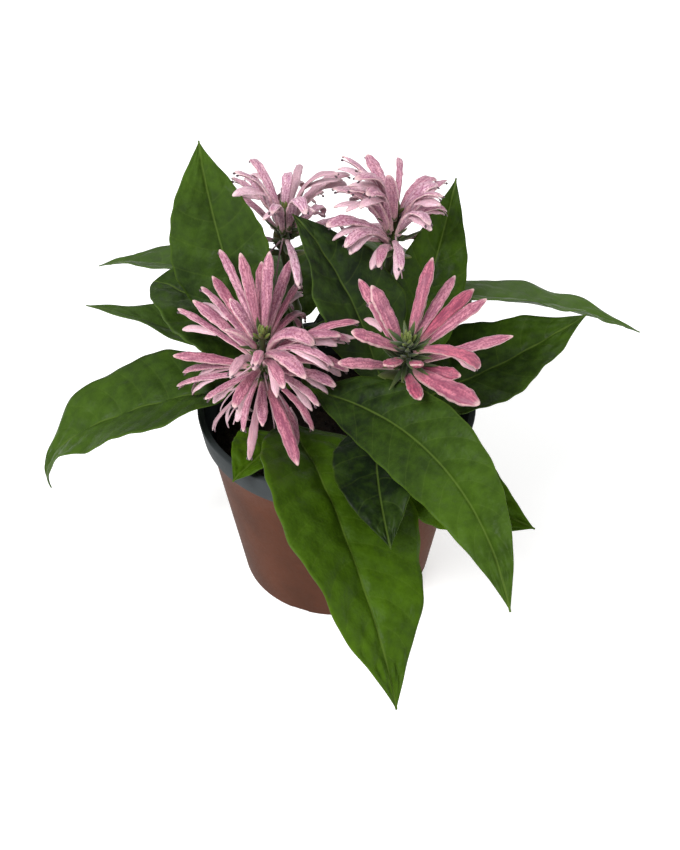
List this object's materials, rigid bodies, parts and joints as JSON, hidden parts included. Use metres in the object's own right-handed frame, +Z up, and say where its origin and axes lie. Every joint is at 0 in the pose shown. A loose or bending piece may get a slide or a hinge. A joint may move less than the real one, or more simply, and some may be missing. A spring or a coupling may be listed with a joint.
{
  "type": "potted brazilian plume flower",
  "caption": "Leafy flowering house plant with plume heads of pink two-lipped corollas, in a tapered nursery pot.",
  "frame": {"origin": "centre of the pot's flat underside", "axes": "+Z up, +X to the right and -Y to the front as pictured"},
  "size_m": [0.2829, 0.2654, 0.2219],
  "materials": {
    "pot_plastic": "matte moulded plastic, terracotta brown outside and charcoal inside",
    "soil": "damp dark peat crumbs with bark fibre",
    "stem_green": "smooth green stem with swollen nodes and pointed green bracts",
    "leaf_green": "satin deep green leaf with sunken veins and a paler underside",
    "corolla_pink": "downy pink corolla, paler towards its lips"
  },
  "bodies": {
    "root": {"pot": "pot_plastic", "soil": "soil", "stem_front_left": "stem_green", "stem_front_right": "stem_green", "stem_back_left": "stem_green", "stem_back_right": "stem_green", "corollas_front_left": "corolla_pink", "corollas_front_right": "corolla_pink", "corollas_back_left": "corolla_pink", "corollas_back_right": "corolla_pink", "leaf_upright_left": "leaf_green", "leaf_front_right_long": "leaf_green", "leaf_left_long": "leaf_green", "leaf_front_long": "leaf_green", "leaf_left_shoulder": "leaf_green", "leaf_rim_small": "leaf_green", "leaf_upright_middle": "leaf_green", "leaf_front_shaded": "leaf_green", "leaf_upright_right": "leaf_green", "leaf_right_wavy": "leaf_green", "leaf_front_right_low": "leaf_green", "leaf_middle_back": "leaf_green", "leaf_left_thin": "leaf_green", "leaf_back_left_high": "leaf_green", "leaf_back_left_low": "leaf_green", "leaf_left_low": "leaf_green", "leaf_right_arching": "leaf_green", "leaf_back_right_high": "leaf_green", "leaf_back_right_low": "leaf_green"}
  },
  "joints": []
}
